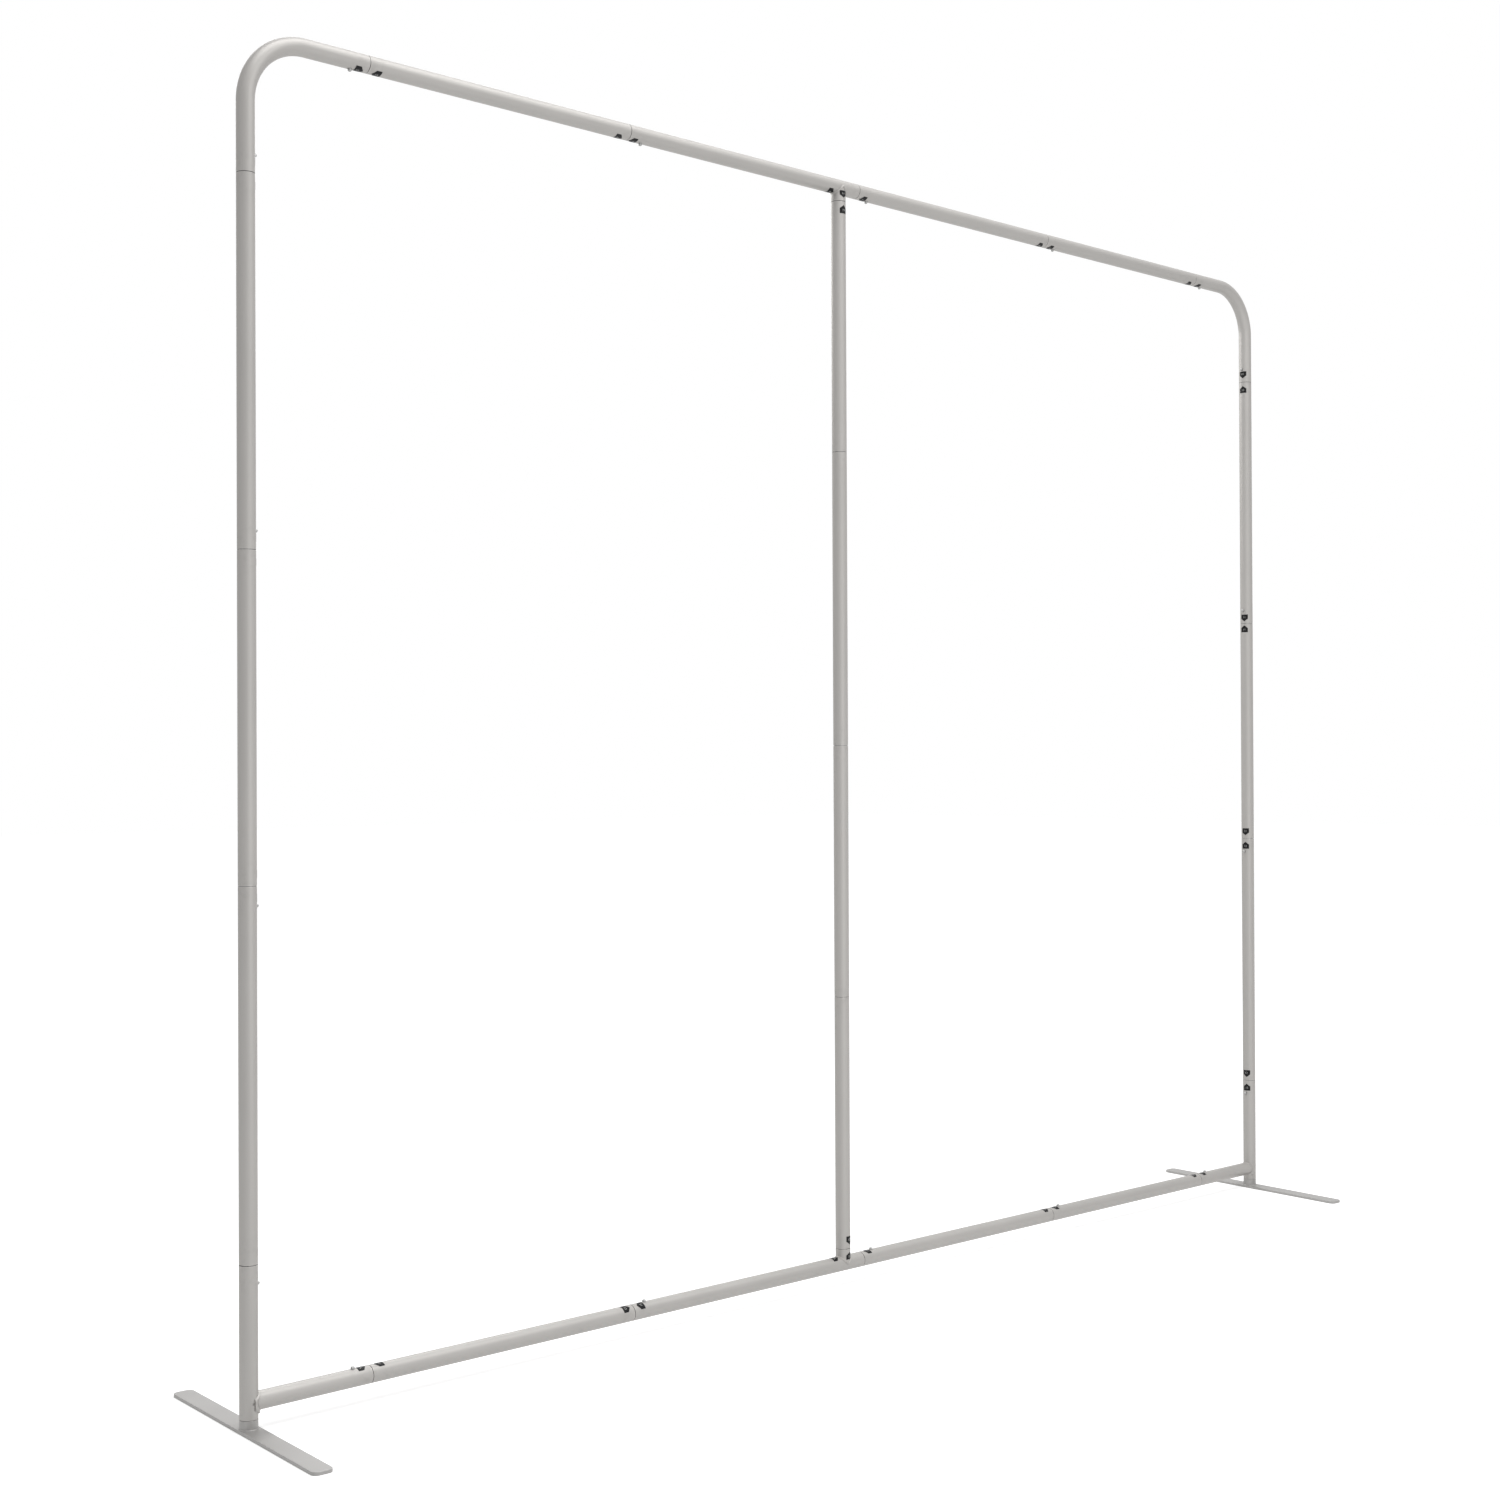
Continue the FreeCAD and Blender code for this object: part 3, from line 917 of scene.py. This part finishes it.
@dataclass
class SnapButtons:
    """The sprung buttons that lock the seams."""

    nodes: Mapping[str, bpy.types.Object]
    finish: PlainMetalFinish = PlainMetalFinish(
        "button_plating", (0.36, 0.36, 0.355), 0.85, 0.32, 0.008 * MM)

    def dress(self) -> int:
        """Give each button its plating.

        Returns:
            How many there are.
        """
        plating = self.finish.material()
        buttons = [name for name in self.nodes if "_button_" in name and not name.endswith("_springs")]
        for name in buttons:
            wear(self.nodes[name], plating)
        return len(buttons)


@dataclass(frozen=True)
class Sticker:
    """One number sticker: where its seam is, the way it runs from there and the way it faces."""

    seam: Vector
    along: Vector
    out: Vector
    number: int
    stretch: float = 1.0


@dataclass(frozen=True)
class Mark:
    """How one pair of stickers was stuck on by hand.

    It holds degrees turned round the tube, how far the pair slid along it, how far the points are
    from the seam, how much further back the second one is to clear the post, and the share of its
    length that is left.
    """

    turn: float = 0.0
    slide: float = 0.0
    tip: float = 9 * MM
    back: float = 0.0
    stretch: float = 1.0


@dataclass
class SeamStickers:
    """Dark house-shaped stickers with a light number, whose points face each other across a seam."""

    plan: WallPlan
    tip: float = 9 * MM
    length: float = 18 * MM
    roof: float = 7 * MM
    width: float = 19 * MM
    blunt: float = 0.6 * MM
    film: float = 0.14 * MM
    lift: float = 0.03 * MM
    ink: float = 0.05 * MM
    digit_height: float = 7.5 * MM
    digit_drop: float = 0.6
    digit_cuts: int = 2
    subdivisions: int = 24
    left_marks: tuple[Mark, ...] = (Mark(), Mark(3.0), Mark(-2.0), Mark())
    top_marks: tuple[Mark, ...] = (
        Mark(13.0), Mark(9.0, slide=-6 * MM), Mark(17.0, back=63 * MM), Mark(13.0), Mark(11.0))
    right_marks: tuple[Mark, ...] = (
        Mark(12.0, tip=10.5 * MM), Mark(12.0, tip=5.5 * MM), Mark(12.0), Mark(11.0))
    bottom_marks: tuple[Mark, ...] = (
        Mark(5.0), Mark(30.0), Mark(12.0, back=63 * MM), Mark(10.0), Mark(8.0))
    post_marks: tuple[Mark, ...] = (Mark(0.0, stretch=0.84), Mark(15.0, stretch=0.84))
    skew: float = 1.6
    seed: int = 11
    vinyl: PrintFinish = PrintFinish(
        "sticker_vinyl", (0.012, 0.012, 0.013), (0.035, 0.035, 0.036), 0.45)
    ink_finish: PrintFinish = PrintFinish("sticker_ink", (0.5, 0.5, 0.49), (0.36, 0.36, 0.36), 0.5)

    def pair(self, number: int, seam: Vector, axis: Vector, out: Vector, towards: Vector,
             mark: Mark) -> list[Sticker]:
        """The two stickers of one seam.

        Args:
            number: What both show.
            seam: Where the seam crosses the tube's axis.
            axis: The way the first sticker runs.
            out: The way they face before they are turned.
            towards: The way they are turned.
            mark: How they were stuck on.

        Returns:
            The stickers after and before the seam.
        """
        turn = math.radians(mark.turn)
        face = out * math.cos(turn) + towards * math.sin(turn)
        shift = axis * (mark.tip - self.tip)
        middle = seam + axis * mark.slide
        return [
            Sticker(middle + shift, axis, face, number),
            Sticker(middle - shift - axis * mark.back, -axis, face, number, mark.stretch)]

    def members(self) -> dict[str, list[Sticker]]:
        """Every sticker, by the member it is on. Numbers run clockwise from the left foot.

        Returns:
            Lists of stickers, by member.
        """
        plan = self.plan
        down = tuple(reversed(plan.upright_seams))
        left = [Vector((-plan.upright_x, 0.0, z)) for z in plan.upright_seams]
        top = [Vector((x, 0.0, plan.top_rail_z)) for x in plan.top_rail_seams]
        right = [Vector((plan.upright_x, 0.0, z)) for z in down]
        bottom = [Vector((x, 0.0, plan.bottom_rail_z)) for x in plan.bottom_rail_seams]
        post = [Vector((plan.post_x, 0.0, plan.post_seams[index])) for index in (-1, 0)]
        rows = {
            "left_upright": (left, [Z_AXIS] * len(left), X_AXIS, -Y_AXIS, self.left_marks),
            "top_rail": (top, [X_AXIS] * len(top), -Z_AXIS, -Y_AXIS, self.top_marks),
            "right_upright": (right, [Z_AXIS] * len(right), -X_AXIS, -Y_AXIS, self.right_marks),
            "bottom_rail": (bottom, [X_AXIS] * len(bottom), Z_AXIS, -Y_AXIS, self.bottom_marks),
            "post": (post, [-Z_AXIS, Z_AXIS], -Y_AXIS, X_AXIS, self.post_marks)}
        members = {}
        number = 0
        for name, (seams, axes, out, towards, marks) in rows.items():
            members[name] = []
            for seam, axis, mark in zip(seams, axes, marks):
                number += 1
                members[name] += self.pair(number, seam, axis, out, towards, mark)
        return members

    def seed_mesh(self, name: str, stickers: Sequence[Sticker]) -> bpy.types.Mesh:
        """A mesh with one point for each sticker, which carries its directions, number and stretch.

        Args:
            name: Name of the mesh.
            stickers: The stickers of one member.

        Returns:
            The mesh.
        """
        hand = random.Random(self.seed)
        slips = [
            Matrix.Rotation(math.radians(hand.uniform(-self.skew, self.skew)), 3, item.along)
            for item in stickers]
        return point_mesh(name, [item.seam for item in stickers], {
            "along": [item.along for item in stickers],
            "out": [slip @ item.out for slip, item in zip(slips, stickers)],
            "number": [item.number for item in stickers],
            "stretch": [item.stretch for item in stickers]})

    def wrapped(self, tree: GeometryTree, flat: Socket) -> Socket:
        """A flat shape wrapped on the tube: X stays along it and Y goes round it."""
        radius = tree.given("Tube Radius") + self.lift
        x, y, z = tree.separate(tree.position())
        angle = y / radius
        reach = radius + z
        return tree.moved(flat, tree.combine(x, reach * angle.sine(), reach * angle.cosine()))

    def placed(self, tree: GeometryTree, shape: Socket, selection: Optional[Socket] = None) -> Socket:
        """Copies of a shape at the input mesh's points, turned to each sticker's directions.

        Args:
            tree: The tree.
            shape: The shape in the seam's own frame, X along the tube and Z out of it.
            selection: Which points get a copy, or None for all.

        Returns:
            The copies.
        """
        inputs = {
            "Points": tree.given("Mesh"), "Instance": shape, "Rotation": tree.turned("out", "along", "X"),
            "Scale": tree.combine(tree.attribute("stretch", "FLOAT"), 1.0, 1.0)}
        if selection is not None:
            inputs["Selection"] = selection
        return tree.result("GeometryNodeInstanceOnPoints", inputs, "Instances")

    def film_tree(self) -> GeometryTree:
        """The tree of the dark sticker films.

        Returns:
            The tree.
        """
        tree = GeometryTree("sticker_films", ["Tube Radius", "Length", "Width", "Roof", "Tip"])
        length = tree.given("Length")
        sides = {
            "Size X": length, "Size Y": tree.given("Width"), "Vertices X": self.subdivisions,
            "Vertices Y": self.subdivisions}
        grid = tree.result("GeometryNodeMeshGrid", sides, "Mesh")
        x, y, z = tree.separate(tree.position())
        start = x + length / 2.0
        narrow = (start / tree.given("Roof")).at_most(1.0).at_least(self.blunt / self.width)
        house = tree.moved(grid, tree.combine(start + tree.given("Tip"), y * narrow, z))
        film = self.wrapped(tree, tree.thickened(house, self.film))
        return tree.finished(self.placed(tree, film), self.vinyl.material())

    def number_tree(self, name: str, numbers: Iterable[int], ink: bpy.types.Material) -> GeometryTree:
        """The tree of one member's numbers.

        Args:
            name: Name of the tree.
            numbers: The numbers that it prints.
            ink: Their finish.

        Returns:
            The tree.
        """
        tree = GeometryTree(name, ["Tube Radius", "Digit Height", "Middle"])
        parts = []
        for number in numbers:
            curves = tree.result(
                "GeometryNodeStringToCurves", {"String": str(number), "Size": tree.given("Digit Height")},
                "Curve Instances", align_x="CENTER", align_y="MIDDLE")
            real = tree.result("GeometryNodeRealizeInstances", {"Geometry": curves}, "Geometry")
            flat = tree.result("GeometryNodeFillCurve", {"Curve": real}, "Mesh")
            cut = {"Mesh": flat, "Level": self.digit_cuts}
            fine = tree.result("GeometryNodeSubdivideMesh", cut, "Mesh")
            x, y, z = tree.separate(tree.position())
            upright = tree.moved(fine, tree.combine(tree.given("Middle") - y, x, z + self.film))
            inked = self.wrapped(tree, tree.thickened(upright, self.ink))
            parts.append(self.placed(tree, inked, tree.numbered("number", number)))
        return tree.finished(tree.joined(*parts), ink)

    def build(self) -> list[bpy.types.Object]:
        """Make the films and numbers of each member.

        Returns:
            The pieces.
        """
        films = self.film_tree()
        ink = self.ink_finish.material()
        film_sizes = {
            "Tube Radius": self.plan.tube_radius, "Length": self.length, "Width": self.width,
            "Roof": self.roof, "Tip": self.tip}
        digit_sizes = {
            "Tube Radius": self.plan.tube_radius, "Digit Height": self.digit_height,
            "Middle": self.tip + (self.length + self.digit_drop * self.roof) / 2}
        pieces = []
        for member, stickers in self.members().items():
            name = f"{member}_stickers"
            pieces.append(films.piece(name, self.seed_mesh(name, stickers), film_sizes))
            name = f"{member}_sticker_numbers"
            numbers = self.number_tree(name, sorted({item.number for item in stickers}), ink)
            pieces.append(numbers.piece(name, self.seed_mesh(name, stickers), digit_sizes))
        for piece in pieces:
            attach(piece, "frame")
        return pieces


@dataclass(frozen=True)
class Weld:
    """Where one bead runs: the branch's start on the main tube, and which way the branch leaves it."""

    centre: Vector
    branch: Vector
    across: Vector


@dataclass
class WeldBeads:
    """Fine rippled beads where a stub, rail or collar is welded on."""

    plan: WallPlan
    points: int = 144
    sides: int = 12
    tee_bead: float = 2.0 * MM
    saddle_bead: float = 1.1 * MM
    foot_bead: float = 1.5 * MM
    side_share: float = 0.3
    ripples: float = 46.0
    ripple_depth: float = 0.1
    saddle_skin: float = 2.7 * MM

    def tree(self, name: str, material: bpy.types.Material) -> GeometryTree:
        """The tree of one kind of bead.

        Args:
            name: Name of the tree.
            material: The bead's finish.

        Returns:
            The tree.
        """
        tree = GeometryTree(
            name, ["Branch Radius", "Main Radius", "Saddle", "Bead", "Side Share", "Ripples"])
        ring = tree.result("GeometryNodeMeshCircle", {"Vertices": self.points, "Radius": 1.0}, "Mesh")
        x, y, z = tree.separate(tree.position())
        branch = tree.given("Branch Radius")
        main = tree.given("Main Radius")
        rise = (main * main - branch * branch * y * y).at_least(0.0).root() * tree.given("Saddle")
        saddle = tree.moved(ring, tree.combine(branch * x, branch * y, rise))
        line = tree.result("GeometryNodeMeshToCurve", {"Mesh": saddle}, "Curve")
        share = tree.result("GeometryNodeSplineParameter", {}, "Factor")
        ripple = (share * tree.given("Ripples") * FULL_TURN).sine() * self.ripple_depth + 1.0
        crotch = abs((share * FULL_TURN).cosine())
        side = tree.given("Side Share")
        size = (side + (1.0 - side) * crotch) * ripple
        swelled = tree.result("GeometryNodeSetCurveRadius", {"Curve": line, "Radius": size}, "Curve")
        round_bead = {"Resolution": self.sides, "Radius": tree.given("Bead")}
        profile = tree.result("GeometryNodeCurvePrimitiveCircle", round_bead, "Curve")
        bead = tree.result("GeometryNodeCurveToMesh", {"Curve": swelled, "Profile Curve": profile}, "Mesh")
        placed = {
            "Points": tree.given("Mesh"), "Instance": bead,
            "Rotation": tree.turned("branch", "across", "Y")}
        return tree.finished(tree.result("GeometryNodeInstanceOnPoints", placed, "Instances"), material)

    def seed_mesh(self, name: str, welds: Sequence[Weld]) -> bpy.types.Mesh:
        """A mesh with one point for each bead, which carries its directions."""
        return point_mesh(name, [weld.centre for weld in welds], {
            "branch": [weld.branch for weld in welds], "across": [weld.across for weld in welds]})

    def make(self, name: str, body: str, material: bpy.types.Material, welds: Sequence[Weld],
             sizes: Mapping[str, float]) -> bpy.types.Object:
        """Make one piece of beads and put it on its body.

        Args:
            name: Name of the piece.
            body: The body it rides on.
            material: Its finish.
            welds: Where its beads run.
            sizes: Values of the tree's inputs.

        Returns:
            The piece.
        """
        base = {"Branch Radius": self.plan.tube_radius, "Ripples": self.ripples}
        piece = self.tree(name, material).piece(name, self.seed_mesh(name, welds), {**base, **sizes})
        piece.data.shade_smooth()
        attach(piece, body)
        return piece

    def build(self, tubes: Mapping[Run, bpy.types.Material],
              feet: Mapping[str, bpy.types.Material]) -> list[bpy.types.Object]:
        """Make the beads of the tees, the end rails and the feet.

        Args:
            tubes: Tube finishes, by run.
            feet: Foot finishes, by side.

        Returns:
            The pieces.
        """
        plan = self.plan
        radius = plan.tube_radius
        tees = [
            Weld(Vector((plan.post_x, 0.0, plan.bottom_rail_z)), Z_AXIS, Y_AXIS),
            Weld(Vector((plan.post_x, 0.0, plan.top_rail_z)), -Z_AXIS, Y_AXIS)]
        ends = [
            Weld(Vector((side * plan.upright_x, 0.0, plan.bottom_rail_z)), X_AXIS * -side, Y_AXIS)
            for side in (-1.0, 1.0)]
        tee_sizes = {
            "Main Radius": radius, "Saddle": 1.0, "Bead": self.tee_bead, "Side Share": self.side_share}
        end_sizes = {
            "Main Radius": radius + self.saddle_skin, "Saddle": 1.0, "Bead": self.saddle_bead,
            "Side Share": 1.0}
        foot_sizes = {"Main Radius": radius, "Saddle": 0.0, "Bead": self.foot_bead, "Side Share": 1.0}
        rail = tubes[Run.BOTTOM_RAIL]
        pieces = [
            self.make("tee_weld_beads", "frame", tubes[Run.POST], tees, tee_sizes),
            self.make("end_rail_weld_beads", "frame", rail, ends, end_sizes)]
        for side, material in feet.items():
            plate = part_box(f"{side}_foot_plate")
            post = WallPlan.axis_of(f"{side}_foot_post")
            ring = [Weld(Vector((post.x, post.y, plate[1].z)), Z_AXIS, Y_AXIS)]
            foot = f"{side}_foot"
            pieces.append(self.make(f"{foot}_weld_bead", foot, material, ring, foot_sizes))
        return pieces


@dataclass
class Feet:
    """The two plate feet that the uprights turn on."""

    nodes: Mapping[str, bpy.types.Object]
    finish: FootFinish = FootFinish()

    def dress(self) -> dict[str, bpy.types.Material]:
        """Give each foot its paint.

        Returns:
            The materials, by side.
        """
        paints = {side: self.finish.material(f"{side}_foot_plate") for side in ("left", "right")}
        for side, paint in paints.items():
            wear(self.nodes[f"{side}_foot_plate"], paint)
            wear(self.nodes[f"{side}_foot_post"], paint)
        return paints


def point_mesh(name: str, places: Sequence[Vector], values: Mapping[str, Sequence[Any]]) -> bpy.types.Mesh:
    """A mesh of loose points that carry named values.

    Args:
        name: Name of the mesh.
        places: Where the points are.
        values: One value for each point, by name: vectors, whole numbers or numbers.

    Returns:
        The mesh.
    """
    kinds = {Vector: ("FLOAT_VECTOR", "vector"), int: ("INT", "value"), float: ("FLOAT", "value")}
    mesh = bpy.data.meshes.new(name)
    mesh.from_pydata(places, [], [])
    for key, column in values.items():
        kind, member = kinds[type(column[0])]
        layer = mesh.attributes.new(key, kind, "POINT")
        for item, value in zip(layer.data, column):
            setattr(item, member, value)
    return mesh


def wear(node: bpy.types.Object, material: bpy.types.Material) -> None:
    """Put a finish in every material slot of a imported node."""
    for slot in node.material_slots:
        slot.material = material


def write_sizes() -> None:
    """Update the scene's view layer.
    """
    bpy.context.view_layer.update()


def main() -> None:
    """Build the studio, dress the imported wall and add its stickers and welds."""
    logging.basicConfig(level=logging.INFO, format="%(name)s: %(message)s")
    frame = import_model()
    plan = WallPlan.read()
    Studio().build()
    PhotoCamera().build()
    tubes = TubeFrame(plan, frame["nodes"]).dress()
    feet = Feet(frame["nodes"]).dress()
    buttons = SnapButtons(frame["nodes"]).dress()
    logger.info("dressed %d runs of tube, %d feet and %d snap buttons", len(tubes), len(feet), buttons)
    for piece in [*SeamStickers(plan).build(), *WeldBeads(plan).build(tubes, feet)]:
        logger.info("made %s with %d faces", piece.name, len(piece.data.polygons))
    write_sizes()


if __name__ == "__main__":
    main()
